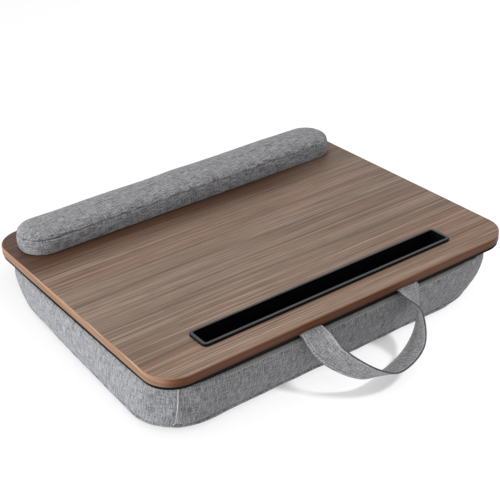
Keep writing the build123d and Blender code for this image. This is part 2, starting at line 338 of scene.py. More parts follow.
def clothMaterial(name, sheen=0.25, strength=0.6, edge=None, **values):
    material, tree, shader = newMaterial(name, 0.88, 0.2, sheen)
    threads = addNode(tree, "UVMap", uv_map="threads")[0]
    color, height = useGroup(tree, shader, heatherGroup, threads, values)
    if edge:
        # painted shade along a strap's two edges, which lie in shadow; edge is half its width
        fromMiddle = calc(tree, "ABSOLUTE", addNode(tree, "SeparateXYZ", threads)[0])
        edgeShade = ramp(tree, fromMiddle, edge - 0.0011, edge - 0.0003, 0.0, 0.85)
        color = blendColor(tree, edgeShade, color, srgb(58, 58, 60))
    surface(tree, shader, color, height, strength, 0.0004)
    return material


def woodMaterial(name, turn=0.0, stretch=(1, 1, 1), coat=0.05, specular=0.35, tints=(), **values):
    material, tree, shader = newMaterial(name, 0.4, specular, coat=coat)
    shader.inputs["Coat Roughness"].default_value = 0.32
    place = objectPlace(tree)
    turned = addNode(tree, "Mapping", place, None, (turn, 0, 0), stretch)[0]
    color, height = useGroup(tree, shader, grainGroup, turned, values)
    for mask, tone in tints:
        # part of the wood is darker or paler: its colour times a tone, by a soft mask over its place
        color = blendColor(tree, mask(tree, place), color, blendColor(tree, 1.0, color, tone, "MULTIPLY"))
    surface(tree, shader, color, height, 0.25)
    return material


def backShadeAndHeartwood(tree, place):
    # painted shade and reflection of the wrist rest over a darker heartwood band: rises from the middle of the board
    # towards the wrist rest, and is weaker at the right end
    x, y, _ = addNode(tree, "SeparateXYZ", place)
    wander = noise(tree, place, (3, 30, 1))
    y = calc(tree, "MULTIPLY_ADD", wander, 0.03, calc(tree, "SUBTRACT", y, 0.015))
    return calc(tree, "MULTIPLY", ramp(tree, y, 0.058, 0.112), ramp(tree, x, 0.06, 0.26, 1.0, 0.45))


def towardsFront(tree, place, low, high):
    return ramp(tree, addNode(tree, "SeparateXYZ", place)[1], low, high)


def aboveTop(tree, place):
    # height above the board's top face, square to the tilted board
    s, c = np.sin(tray["tilt"]), np.cos(tray["tilt"])
    height = addNode(tree, "VectorMath", place, (0, s, c), operation="DOT_PRODUCT")["Value"]
    return calc(tree, "SUBTRACT", height, tray["lift"] * c + tray["thickness"])


def frontShadeStrip(tree, place):
    # painted shade on the strip along the front edge, which faces away from the light, fading round both corners and
    # below the painted highlight on the upper edge
    below = ramp(tree, aboveTop(tree, place), -0.0008, -0.0022)
    return calc(tree, "MULTIPLY", towardsFront(tree, place, -0.198, -0.2135), below)


# the board is a little paler and warmer towards its front edge; the band gets a painted highlight on its rounded
# upper edge, where the light catches it
paleTowardsFront = lambda tree, place: towardsFront(tree, place, -0.08, -0.19)
upperEdgeHighlight = lambda tree, place: ramp(tree, aboveTop(tree, place), -0.0026, -0.0012)


def mouldedMaterial(name, color, roughness, pitSize, strength, specular=0.5):
    # moulded plastic: one colour with a faint cloud in it, and a fine pitted skin
    material, tree, shader = newMaterial(name, roughness, specular)
    place = objectPlace(tree)
    cloud = noise(tree, place, (18, 18, 18), 3.0)
    lighter = tuple(min(1.0, c * 1.5 + 0.004) for c in color[:3]) + (1.0,)
    color = blendColor(tree, ramp(tree, cloud, 0.35, 0.75, 0.0, 0.6), color, lighter)
    tree.links.new(ramp(tree, cloud, 0.3, 0.7, roughness * 0.88, roughness * 1.14), shader.inputs["Roughness"])
    surface(tree, shader, color, noise(tree, place, (pitSize,) * 3), strength)
    return material


def dress(piece, material):
    piece.data.materials.clear()
    piece.data.materials.append(material)
    return piece


# board, slot and plate: the imported solids with their finishes

# side is painted shade on the rim, top a painted highlight on the rim's top
slot = {"well": srgb(6, 6, 7), "side": srgb(4, 4, 4), "top": srgb(68, 71, 72), "wellGloss": 0.45, "rimGloss": 0.42,
        "specular": 0.12, "rimFoot": (-0.0004, 0.0002), "rimTop": (0.0031, 0.00337), "highlightPatches": (60, 160, 60)}


def slotMaterial():
    # black well; its rim is satin, with painted shade on its side and a patchy painted highlight on its top
    material, tree, shader = newMaterial("slotBlack", specular=slot["specular"])
    place = objectPlace(tree)
    rise = aboveTop(tree, place)
    onRim, onTop = (ramp(tree, rise, *slot[part]) for part in ("rimFoot", "rimTop"))
    patchyHighlight = ramp(tree, noise(tree, place, slot["highlightPatches"], 3.0), 0.2, 0.7, 0.75, 1.0)
    # painted shade on the rim's side, then a patchy painted highlight on its top
    color = blendColor(tree, onRim, slot["well"], slot["side"])
    color = blendColor(tree, calc(tree, "MULTIPLY", onTop, patchyHighlight), color, slot["top"])
    tree.links.new(ramp(tree, onRim, 0.0, 1.0, slot["wellGloss"], slot["rimGloss"]), shader.inputs["Roughness"])
    surface(tree, shader, color, noise(tree, place, (900,) * 3), 0.04)
    return material


print("stage: board, slot and plate")
# the walnut is darker towards the back by painted shade and reflection of the wrist rest, over darker heartwood
walnut = woodMaterial("walnut", Contrast=1.2, tints=[(backShadeAndHeartwood, (0.34, 0.20, 0.12, 1)),
                                                     (paleTowardsFront, (1.16, 1.12, 1.09, 1))])
# the edge band: painted shade along its front, and a painted highlight on its upper edge
bandWood = woodMaterial("bandWood", turn=np.pi / 2, stretch=(0.6, 1.5, 0.6), coat=0.0, specular=0.25,
                        tints=[(frontShadeStrip, (0.42, 0.25, 0.16, 1)), (upperEdgeHighlight, (1.34, 1.38, 1.42, 1))],
                        Base=srgb(131, 99, 75), Pale=srgb(160, 127, 101), Dark=srgb(94, 66, 47),
                        Red=srgb(134, 95, 70), Contrast=0.8)
coreBoard = woodMaterial("coreBoard", stretch=(6, 1, 3), Contrast=0.5, coat=0.0, Base=srgb(176, 148, 116),
                         Pale=srgb(190, 164, 132), Dark=srgb(150, 120, 90), Red=srgb(178, 146, 110))
plateBlack = mouldedMaterial("plateBlack", srgb(6, 6, 6), 0.7, 1400, 0.2, 0.12)
steel = mouldedMaterial("zincSteel", srgb(170, 172, 175), 0.32, 700, 0.05)
steel.node_tree.nodes["Principled BSDF"].inputs["Metallic"].default_value = 1.0
tapeRubber = mouldedMaterial("tapeRubber", srgb(58, 58, 60), 0.8, 600, 0.1)
for name, material in (("top_laminate", walnut), ("edge_band", bandWood), ("tray_core", coreBoard),
                       ("backing_sheet", coreBoard), ("slot_liner", slotMaterial()), ("base_plate", plateBlack),
                       ("plate_screws", steel), ("strap_staples", steel), ("wrist_base", plateBlack),
                       ("wrist_tape_strips", tapeRubber)):
    dress(nodes[name], material)

heather = clothMaterial("heatherCloth", Dark=srgb(94, 94, 97), Light=srgb(170, 170, 173),
                        Yarn=0.0008, Slub=0.95, Cross=0.65)
heatherWrist = clothMaterial("heatherWrist", Dark=srgb(78, 78, 80), Light=srgb(165, 165, 168),
                             Yarn=0.0008, Slub=1.0, Cross=0.65)
tapeCloth = clothMaterial("tapeCloth", sheen=0.1, strength=0.4, Dark=srgb(118, 119, 115), Light=srgb(148, 149, 145),
                          Yarn=0.0007, Slub=0.3, Cross=0.3)
threadPale = mouldedMaterial("threadPale", srgb(196, 196, 198), 0.75, 2500, 0.3, 0.2)

# cushion

cushion = {
    "top": -0.0066, "topInset": 0.004, "rightInset": 0.012, "backInset": 0.014,
    "corner": 0.058, "slackCorner": 0.080, "backSlack": 0.096,
    "leftSpread": 0.0074, "rightDraw": 0.008, "frontDraw": 0.001, "backDraw": 0.006,
    "bulge": 0.006, "topBulge": 0.006 / 6, "seamBulge": 0.4,
    "seamHeight": 0.0133, "crown": 0.0227, "groove": 0.0021, "clear": 0.0003,
    "cornerSeam": 0.2410, "seamLean": 0.0066, "seamSink": 0.0011, "seamWidth": 0.9,
    "hollows": 0.0006, "hollowFade": 0.02, "lidSlope": 0.078, "fuller": 0.0045, "fullerFrom": (0.013, 0.05),
    "edgeRound": 0.0056, "edgeShare": 0.09,
    "dentMiddle": -0.163, "dentHalf": (0.1945, 0.0225), "dentDepth": 0.0115, "dentSlope": 0.006,
    "puckerCap": 0.004, "seamShrink": 0.06,
}
seamAngles = {-1: 36.5, 1: 47.1}  # degrees from the front to each corner seam
seamSteps = np.array([-4.5, -2.4, -1.3, -0.6, 0.0, 0.6, 1.3, 2.4, 4.5])


def outlinePlan(longCount=96, shortCount=76, cornerCount=18, seamed=False):
    # one lap round a rounded rectangle as (normal angle, place): a straight's place runs from -1 to 1,
    # and a corner's is 1 while its angle turns
    parts = []
    start = 90.0
    for side, count in ((0, longCount), (1, shortCount), (2, longCount), (3, shortCount)):
        angle = start + 90 * side
        t = np.linspace(-1, 1, count, endpoint=False)
        parts.append(np.stack([np.full(count, angle), t], -1))
        turn = np.linspace(0, 90, cornerCount, endpoint=False)
        if seamed and side in (1, 2):
            # closer columns beside the seam that runs down each front corner
            middle = 90 - seamAngles[-1] if side == 1 else seamAngles[1]
            turn = np.sort(np.concatenate([turn[np.abs(turn - middle) > 6], middle + seamSteps]))
        parts.append(np.stack([angle + turn, np.full(len(turn), 1.0)], -1))
    plan = np.concatenate(parts)
    return np.radians(plan[:, 0]), plan[:, 1]


def cushionSides(settled, inset):
    # the outline's sides and its corners' radii: settled is 0 at the tray and 1 at the bottom seam
    left = inset + cushion["topInset"] - tray["halfLength"] - cushion["leftSpread"] * settled
    right = tray["halfLength"] - cushion["rightInset"] - cushion["rightDraw"] * settled - inset
    front = inset + cushion["topInset"] + cushion["frontDraw"] * settled - tray["halfDepth"]
    back = tray["halfDepth"] - cushion["backInset"] - cushion["backDraw"] * settled - inset
    # the right front and left back corners are the slack ones
    firm = cushion["corner"]
    radii = [np.maximum(firm + (cushion[name] - firm) * settled - inset, 0.004)
             for name in ("corner", "backSlack", "corner", "slackCorner")]
    return (left, right, front, back), radii


def roundedRing(angle, t, sides, radii):
    # every column is a corner's centre plus its radius times the normal, or a point between two
    # corners; the radii go from the right back corner round by the left
    left, right, front, back = sides
    rightBack, leftBack, leftFront, rightFront = radii
    # side 0 = +X, 1 = +Y, 2 = -X, 3 = -Y, each with the corner after it
    side = np.floor(np.degrees(angle) % 360 / 90 + 0.0001).astype(int) % 4
    k = (t + 1) / 2
    mix = lambda a, b: a + (b - a) * k
    onSide = [side == i for i in range(4)]
    sideX = np.select(onSide, [right + 0 * k, mix(right - rightBack, left + leftBack),
                               left + 0 * k, mix(left + leftFront, right - rightFront)])
    sideY = np.select(onSide, [mix(front + rightFront, back - rightBack), back + 0 * k,
                               mix(back - leftBack, front + leftFront), front + 0 * k])
    radius = np.select(onSide, [r + 0 * k for r in radii])
    cornerX = np.where((side == 1) | (side == 2), left + radius, right - radius) + radius * np.cos(angle)
    cornerY = np.where(side < 2, back - radius, front + radius) + radius * np.sin(angle)
    return np.where(t < 1.0, sideX, cornerX), np.where(t < 1.0, sideY, cornerY)


def cushionOutline(plan, settled, inset, bow):
    # each side bows out by bow times (1 - place squared), the long ones by half of it
    angle, t = plan
    sides, radii = cushionSides(settled, inset)
    left, right, front, back = sides
    degrees = np.degrees(angle) % 360
    # the corner seams lean outwards a little on their way down, so columns near them turn with the depth
    for sign, centre, radius in ((-1, left + radii[2], radii[2]), (1, right - radii[3], radii[3])):
        fromFront = sign * (degrees - 270)
        middle = seamAngles[sign]
        sine = (cushion["cornerSeam"] + cushion["seamLean"] * settled - sign * centre) / radius
        wanted = np.degrees(np.arcsin(np.clip(sine, 0.05, 0.98)))
        reach = np.where(fromFront < middle, fromFront / middle, (90 - fromFront) / (90 - middle))
        turned = fromFront + (wanted - middle) * reach
        inCorner = (fromFront > 0) & (fromFront < 90)
        angle = np.where(inCorner, np.radians(270 + sign * turned), angle + 0 * turned)
    px, py = roundedRing(angle, t, sides, radii)
    midX, midY, halfX, halfY = (left + right) / 2, (front + back) / 2, (right - left) / 2, (back - front) / 2
    return (px + np.cos(angle) * bow * (1 - ((py - midY) / halfY) ** 2),
            py + np.sin(angle) * bow / 2 * (1 - ((px - midX) / halfX) ** 2))


def cushionRows(plan, share, inset):
    # wall of the cushion: share 0 at the tray, 1 at the bottom seam; the level turns from the tray's
    # tilt to flat, and the wall swells by 4 s (1 - s)
    s = np.atleast_1d(share)[:, None]
    ins = np.broadcast_to(np.atleast_1d(inset)[:, None], s.shape)
    swell = 4 * s * (1 - s) + cushion["seamBulge"] * s * s
    px, py = cushionOutline(plan, s * s, ins, cushion["topBulge"] + cushion["bulge"] * swell)
    tilt = tray["tilt"] * (1 - s)
    _, topY, topZ = onTray([0, 0, cushion["top"]])
    level = topZ * (1 - s) + cushion["seamHeight"] * s
    return np.stack([px + 0 * s, topY * (1 - s) + py * np.cos(tilt), level - py * np.sin(tilt)], -1)


def cushionBottom(plan, degrees, inset):
    # crowned bottom panel: quarter ellipse from the seam (0 degrees) to the floor (90 degrees)
    a = np.radians(np.atleast_1d(degrees))[:, None]
    ins = np.broadcast_to(np.atleast_1d(inset)[:, None], a.shape) + cushion["crown"] * (1 - np.cos(a))
    bow = cushion["topBulge"] + cushion["bulge"] * cushion["seamBulge"] * np.cos(a)
    px, py = cushionOutline(plan, 1 + 0 * a, ins, bow)
    level = cushion["clear"] + (cushion["seamHeight"] - cushion["clear"]) * (1 - np.sin(a))
    return np.stack([px + 0 * a, py + 0 * a, level + 0 * px], -1)


def settle(points):
    # slow soft hollows round the wall of the filled cushion; its right end is fuller half way down
    x, y, z = np.moveaxis(points, -1, 0)
    fromLid = tray["lift"] - 0.004 - y * cushion["lidSlope"] - z
    wall = np.clip(z / cushion["hollowFade"], 0, 1) * np.clip(fromLid / cushion["hollowFade"], 0, 1)
    angle = np.arctan2(y, x)
    wave = np.sin(angle * 13 + 1.2) * np.sin(z * 95 + angle * 5) + 0.6 * np.sin(angle * 29 + 0.4 + z * 60)
    push = cushion["hollows"] * wave * wall
    length = np.hypot(x / 0.27, y / 0.21) + 1e-6
    foot, height = cushion["fullerFrom"]
    t = np.clip((z - foot) / height, 0, 1)
    fuller = cushion["fuller"] * 4 * t * (1 - t) * np.clip((x - 0.12) / 0.1, 0, 1) ** 2
    return np.stack([x + push * (x / 0.27) / length + fuller, y + push * (y / 0.21) / length, z], -1)


def edgeRound(share):
    # the cloth turns in under the plate: a small square-law round at the top of the wall
    return cushion["edgeRound"] * np.clip(1 - np.asarray(share) / cushion["edgeShare"], 0, 1) ** 2


def dent(x, y):
    # hollow in the cushion's hidden lid under the slot's well: a box with sloping sides
    halfX, halfY = cushion["dentHalf"]
    outside = np.maximum(np.abs(x) - halfX, np.abs(y - cushion["dentMiddle"]) - halfY)
    return cushion["dentDepth"] * np.clip(1 - outside / cushion["dentSlope"], 0, 1)


def fromCornerSeam(plan):
    # degrees round the outline from the nearer corner seam
    degrees = np.degrees(plan[0]) % 360
    return np.minimum(*(np.abs(degrees - (270 + sign * middle)) for sign, middle in seamAngles.items()))


def sinkSeam(rows, plan, count):
    # draws the columns beside each corner seam in towards the seam: a narrow valley
    depth = cushion["seamSink"] * np.exp(-(fromCornerSeam(plan) / cushion["seamWidth"]) ** 2)
    out = np.stack([np.cos(plan[0]), np.sin(plan[0]), 0 * plan[0]], -1)
    rows[:count] -= depth[None, :, None] * out[None]
    return rows


def gridNormals(points):
    # cross product of the steps along the rows and round the ring, pointing away from the middle
    down = np.gradient(points, axis=0)
    around = np.roll(points, -1, 1) - np.roll(points, 1, 1)
    normals = np.cross(down, around)
    normals /= np.linalg.norm(normals, axis=-1, keepdims=True) + 1e-12
    middle = points.reshape(-1, 3).mean(0)
    return normals * np.sign(((points - middle) * normals).sum())


puckerCloth = {
    "quality": 6, "tension_stiffness": 12, "compression_stiffness": 12, "bending_stiffness": 0.3,
    "use_pressure": True, "uniform_pressure_force": 4, "shrink_min": 0.0,
    "vertex_group_mass": "held", "vertex_group_shrink": "sewn",
}
puckerFrames, sewnHold = 20, 0.35


def puckers(rows, rowPick, colPick, held, sewn, cap, shrink):
    # cloth simulation on a coarse closed copy of the grid: air fills it while its seams draw together;
    # of the way each point moves off the smooth form, only what changes along the seams is kept
    coarse = rows[np.ix_(rowPick, colPick)]
    shape = coarse.shape[:2]
    sheet = gridPiece("fillTrial", coarse, np.zeros((shape[0], shape[1] + 1, 2)), body=None,
                      poles=[(coarse[i].mean(0), (0, 0)) for i in (0, -1)])
    count = shape[0] * shape[1]
    pin, seam = sheet.vertex_groups.new(name="held"), sheet.vertex_groups.new(name="sewn")
    index = np.arange(count).reshape(shape)
    pin.add(index[held].ravel().tolist() + [count, count + 1], 1.0, "REPLACE")
    pin.add(index[sewn & ~held[:, None]].tolist(), sewnHold, "REPLACE")
    seam.add(index[sewn].tolist(), 1.0, "REPLACE")
    cloth = sheet.modifiers.new("fill", "CLOTH")
    for setting, value in puckerCloth.items():
        setattr(cloth.settings, setting, value)
    cloth.settings.shrink_max = shrink
    cloth.settings.effector_weights.gravity = 0
    cloth.collision_settings.use_collision = False
    for step in range(1, puckerFrames + 1):
        scene.frame_set(step)
    view = sheet.evaluated_get(bpy.context.evaluated_depsgraph_get()).to_mesh()
    moved = np.empty(len(view.vertices) * 3)
    view.vertices.foreach_get("co", moved)
    moved = moved.reshape(-1, 3)[:count].reshape(coarse.shape)
    bpy.data.objects.remove(sheet)
    scene.frame_set(1)
    off = ((moved - coarse) * gridNormals(coarse)).sum(-1)
    print("cloth moved", round(float(np.abs(off).max()) * 1000, 2), "mm")
    off = np.clip(off, -cap, cap)
    # less the mean over 19 columns round the ring, then spread over the fine grid
    off = off - sum(np.roll(off, k, 1) for k in range(-9, 10)) / 19
    ends = np.append(colPick, rows.shape[1])
    full = atRuns(np.arange(rows.shape[1]), ends, closed(off).T).T
    full = atRuns(np.arange(len(rows)), rowPick, full)
    full = (np.roll(full, 1, 1) + 2 * full + np.roll(full, -1, 1)) / 4
    return gridNormals(rows) * full[..., None]


def makeCushion():
    # rows from the middle of the hidden lid, down the wall and the rounded rim to the flat bottom
    plan = outlinePlan(seamed=True)
    g = cushion["groove"]
    lidInset = np.array([0.19, 0.15, 0.12, 0.10, 0.088, 0.082, 0.076, 0.070, 0.062, 0.054,
                         0.046, 0.038, 0.032, 0.026, 0.020, 0.014, 0.010, 0.006, 0.0046])
    lid = cushionRows(plan, np.zeros(len(lidInset)), lidInset)
    lid = lid + dent(lid[..., 0], lid[..., 1])[..., None] * [0, 0, -1]
    share = np.array([0.004, 0.025, 0.05, 0.085, 0.15, 0.23, 0.31, 0.39, 0.47, 0.55,
                      0.63, 0.71, 0.79, 0.86, 0.915, 0.95, 0.972, 0.987, 0.995])
    wall = cushionRows(plan, share, edgeRound(share) + np.array([0.0] * 16 + [0.0001, g * 0.45, g]))
    degrees = np.array([1.5, 4, 8, 14, 22, 32, 43, 54, 65, 76, 86, 90])
    bottom = cushionBottom(plan, degrees, np.array([g, g * 0.45, 0.0001] + [0.0] * 9))
    flat = cushionBottom(plan, np.full(3, 90.0), np.array([0.02, 0.06, 0.12]))
    rows = settle(np.concatenate([lid, sinkSeam(wall, plan, len(wall) - 2), bottom, flat]))
    topRow, seamRow, floorRow = len(lid), len(lid) + len(wall), len(lid) + len(wall) + len(degrees)
    fromSeam = fromCornerSeam(plan)
    onSeam = fromSeam < 0.01
    colPick = np.where((fromSeam > 5) | onSeam)[0]
    rowPick = np.concatenate([[0, 7, 12, 16, topRow - 1, topRow + 1], np.arange(topRow + 3, seamRow - 3),
                              seamRow + np.array([0, 3, 5, 7, 9]), [floorRow - 1, floorRow + 1, len(rows) - 1]])
    held = (rowPick < topRow + 5) | (rowPick >= seamRow + 7)
    sewn = (rowPick == seamRow)[:, None] | onSeam[colPick][None] & (rowPick > topRow)[:, None]
    rows = rows + puckers(rows, rowPick, colPick, held, sewn, cushion["puckerCap"], cushion["seamShrink"])
    around = runLength(closed(cushionRows(plan, 0.5, 0.0))[0])
    # threads: the lid lies flat, the wall is rolled off, and the bottom is flat again, its rounded
    # rim laid out by its arc length
    wrapped = closed(rows)
    lidUv = wrapped[..., :2] + 0.011
    wallUv = np.stack([np.broadcast_to(around, wrapped.shape[:2]), wrapped[..., 2]], -1)
    steps, level = (np.linalg.norm(np.diff(a, axis=0), axis=-1).mean(1) for a in (wrapped, wrapped[..., :2]))
    spare = np.cumsum(np.append(0, steps - level))
    spare = np.clip(spare[floorRow] - spare, 0, None) * (np.arange(len(rows)) >= seamRow)
    normal = closed(np.stack([np.cos(plan[0]), np.sin(plan[0])], -1)[None])
    bottomUv = wrapped[..., :2] + spare[:, None, None] * normal
    # the two corner seams' middle lines, with the columns beside them, for their threads
    wallRows = rows[topRow + 1:seamRow + 1]
    sewnLines = [(wallRows[:, c], wallRows[:, c + 2] - wallRows[:, c - 2]) for c in np.where(onSeam)[0]]
    top = onTray([0, -0.005, cushion["top"]])
    cover = gridPiece("cushion_cover", rows, lidUv, panels=((topRow - 1, wallUv), (seamRow - 1, bottomUv)),
                      poles=((top, (0, 0)), ((0, -0.008, cushion["clear"]), (0, -0.008))))
    return cover, sewnLines


print("stage: cushion")
cushionCover, cornerSeams = makeCushion()
dress(cushionCover, heather)
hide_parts("cushion_front_panel", "cushion_side_panel", "cushion_bottom_panel", "cushion_fill")

# black binding between the cushion and the plate; partly painted shade, darkening the gap under the board as the
# shadow there does

shadeBinding = {"outer": -0.0010, "inner": 0.012, "top": -0.0042, "bottom": -0.0071, "round": 0.0006, "lap": 1.9}


def makeShadeBinding():
    # a flat ring: the cushion's top outline with a rounded bar for its section
    plan = outlinePlan()
    a = np.radians([90, 67, 45, 22, 0])
    r = shadeBinding["round"]
    outer = shadeBinding["outer"] + r - r * np.cos(a)
    high, low = shadeBinding["top"] - r + r * np.sin(a), shadeBinding["bottom"] + r - r * np.sin(a)
    inset = np.concatenate([[shadeBinding["inner"]], outer, outer[::-1], [shadeBinding["inner"]]])
    level = np.concatenate([[shadeBinding["top"]], high, low[::-1], [shadeBinding["bottom"]]])
    px, py = cushionOutline(plan, 0 * inset[:, None], inset[:, None], cushion["topBulge"])
    rows = onTray(np.stack([px, py, level[:, None] + 0 * px], -1))
    around = np.linspace(0, shadeBinding["lap"], rows.shape[1] + 1)
    uv = np.stack(np.meshgrid(around, np.arange(len(rows) + 1) * 0.001), -1)
    return gridPiece("cushion_shade_binding", rows, uv, loop=True)


cushionShadeBinding = makeShadeBinding()
# painted shade: as black as the shadow in the gap under the board
dress(cushionShadeBinding, mouldedMaterial("shadeBindingBlack", srgb(8, 8, 8), 0.85, 1500, 0.3, 0.1))
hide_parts("cushion_lining")

# wrist rest

wrist = {"length": 0.506, "depth": 0.068, "corner": 0.033, "fromBack": 0.024, "seam": 0.021, "rise": 0.0088,
         "crownWidth": 0.0215, "bulge": 0.0016, "groove": 0.0011, "sunkEnd": 2.6,
         "puckerCap": 0.0007, "seamShrink": 0.05}
wrist["middleY"] = tray["halfDepth"] - wrist["fromBack"] - wrist["depth"] / 2


def wristOutline(plan, inset):
    halfX, halfY = wrist["length"] / 2 - inset, wrist["depth"] / 2 - inset
    return roundedRing(*plan, (-halfX, halfX, -halfY, halfY), [np.maximum(wrist["corner"] - inset, 0.0002)] * 4)


def makeWristRest():
    # a pill-shaped outline carried up a profile of (inset, level): base edge, bulged side, sunk seam,
    # then a quarter ellipse up to a slightly crowned top
    plan = outlinePlan(150, 6, 22)
    g, seam, rise, middleY = wrist["groove"], wrist["seam"], wrist["rise"], wrist["middleY"]
    s = np.linspace(0.06, 0.93, 10)
    a = np.radians([12, 20, 29, 39, 49, 59, 69, 79, 90])
    profile = np.concatenate([
        [(0.020, 0.0009), (0.009, 0.0009), (0.004, 0.0004), (0.0012, 0.0001), (0.0003, 0.0006)],
        np.stack([-wrist["bulge"] * 4 * s * (1 - s), s * seam], -1),
        [(0.0, seam * 0.965), (g * 0.5, seam * 0.985), (g, seam), (g * 0.5, seam + 0.0004), (0.0002, seam + 0.0010)],
        np.stack([wrist["crownWidth"] * (1 - np.cos(a)), seam + rise * np.sin(a)], -1),
        [(0.028, seam + rise + 0.0002), (0.031, seam + rise + 0.0004), (0.0325, seam + rise + 0.0005)]])
    seamRow = 17
    inset, level = profile[:, :1], profile[:, 1:]
    # the seam sinks in most round the left end
    sunk = wrist["sunkEnd"] * np.clip((-0.16 - wristOutline(plan, 0.0)[0]) / 0.07, 0, 1)
    near = np.exp(-((level - seam) / 0.0007) ** 2) * (inset < 0.004)
    inset = inset + near * g * sunk[None]
    px, py = wristOutline(plan, inset)
    swell = 0.0004 * np.sin(px * 47 + 1.0) * np.clip(level / 0.02, 0, 1)
    rows = np.stack([px, py + middleY, tray["thickness"] + level + swell], -1)
    rowPick = np.array([0, 2, 4, 6, 8, 10, 12, 14, seamRow, 20, 22, 24, 26, 28, len(rows) - 1])
    colPick = np.arange(0, rows.shape[1], 2)
    sewn = np.broadcast_to((rowPick == seamRow)[:, None], (len(rowPick), len(colPick)))
    rows = rows + puckers(rows, rowPick, colPick, rowPick < 5, sewn, wrist["puckerCap"], wrist["seamShrink"])
    # the yarns' long way runs along the rest
    wrapped = closed(rows)
    uv = np.empty((*wrapped.shape[:2], 2))
    uv[..., 0] = level
    uv[..., 1] = runLength(wrapped[8])
    for flat in (slice(seamRow, None), slice(0, 4)):
        uv[flat] = wrapped[flat, :, 1::-1]
    ends = onTray([[0, middleY, tray["thickness"] + 0.0009], [0, middleY, rows[-1, 0, 2]]])
    return gridPiece("wrist_rest_cover", onTray(rows), uv, poles=[(end, (middleY, 0)) for end in ends])


print("stage: wrist rest")
wristCover = makeWristRest()
dress(wristCover, heatherWrist)
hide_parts("wrist_side_panel", "wrist_top_panel", "wrist_foam")

# tape along the top of the cushion's front

frontTape = {
    "half": 0.188, "upper": 0.028, "lower": 0.022, "height": 0.0065, "endTaper": 0.006,
    "wallHeight": 0.058, "frontOnly": -0.19, "stitchShare": 0.018, "stitchInset": -0.0012,
    "proud": (0.0004, 0.0009, 0.0011, 0.0012, 0.0012, 0.0012, 0.0010, 0.0006, 0.0, 0.0),
    "stitchPitch": 0.0042, "stitch": (0.0028, 0.0009, 0.0007),
}


def makeFrontTape():
    # follows the cushion's wall between two levels, as a flat tube with rounded edges
    plan = outlinePlan(400, 40, 18)
    outer = cushionRows(plan, 0.5, 0.0)[0]
    half, s0 = frontTape["half"], frontTape["upper"]
    s1 = frontTape["lower"] + frontTape["height"] / frontTape["wallHeight"]
    front = np.where((outer[:, 1] < frontTape["frontOnly"]) & (np.abs(outer[:, 0]) <= half))[0]
    onWall = lambda share, inset: settle(cushionRows(plan, share, inset))[:, front]
    share = np.array([s0, s0 + 0.004, s0 + 0.02, 0.06, 0.085, s1 - 0.014, s1 - 0.003, s1, s1, s0])
    proud = onWall(share, edgeRound(share) - np.array(frontTape["proud"]))
    flat = onWall(share, edgeRound(share) + 0.0002)
    ends = np.clip((half - np.abs(proud[..., :1])) / frontTape["endTaper"], 0.0, 1)
    points = np.transpose(flat + (proud - flat) * np.sqrt(ends), (1, 0, 2))
    wrapped = closed(points)
    uv = np.stack([np.broadcast_to(points[:, :1, 0], wrapped.shape[:2]), wrapped[..., 2]], -1)
    poles = [(points[i].mean(0), uv[i, 0]) for i in (0, -1)]
    cover = gridPiece("front_tape_cover", points, uv, poles=poles)
    # one row of stitches along the lower edge
    sewn = onWall([s1 - frontTape["stitchShare"]], frontTape["stitchInset"])[0]
    row = spaced(sewn, frontTape["stitchPitch"], np.broadcast_to([0.0, -1.0, 0.0], sewn.shape))
    inside = np.abs(row[0][:, 0]) < half - 0.004
    return cover, stitchPiece("front_tape_stitches", *(a[inside] for a in row), frontTape["stitch"])


print("stage: front tape")
tapeCover, tapeStitches = makeFrontTape()
dress(tapeCover, tapeCloth)
dress(tapeStitches, threadPale)
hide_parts("front_tape")

# handle strap

strap = {
    "width": 0.033, "thickness": 0.0026, "edgeRound": 0.0012, "halfSpacing": 0.076, "shift": 0.0097,
    "reach": 0.059, "drop": 0.0578, "endLength": 0.028, "hingeY": -0.2176, "middleZ": -0.0013,
    "spacing": (-1.0, -0.9, -0.49, -0.02, 0.56, 0.93, 1.0),
    "reaches": (0.0, 0.59, 0.99, 1.0, 0.83, 0.45, 0.0),
    "drops": (0.0, 0.38, 0.8, 1.0, 0.85, 0.45, 0.0),
    "turns": (0.0, 44.0, 73.0, 84.0, 87.0, 119.0, 180.0),
    "leans": (0.0, 49.0, 44.0, 23.0, 23.0, 40.0, 0.0),
    "stitchInset": 0.0028, "secondInset": 0.0032, "stitchPitch": 0.0040, "stitch": (0.0030, 0.0009, 0.0008),
    "press": 0.26, "pressWidth": 0.0007, "stitchLift": 0.80, "secondFrom": -0.2330, "stitchFrom": -0.2165,
}


def eased(values, place):
    # cubic through evenly spaced values, with slopes from the neighbours on both sides
    v = np.asarray(values, float)
    last = len(v) - 1
    slope = np.empty(len(v))
    slope[1:-1] = (v[2:] - v[:-2]) / 2
    slope[0], slope[-1] = v[1] - v[0], v[-1] - v[-2]
    i = np.minimum((place * last).astype(int), last - 1)
    t = place * last - i
    return ((2 * t ** 3 - 3 * t ** 2 + 1) * v[i] + (t ** 3 - 2 * t ** 2 + t) * slope[i]
            + (3 * t ** 2 - 2 * t ** 3) * v[i + 1] + (t ** 3 - t ** 2) * slope[i + 1])


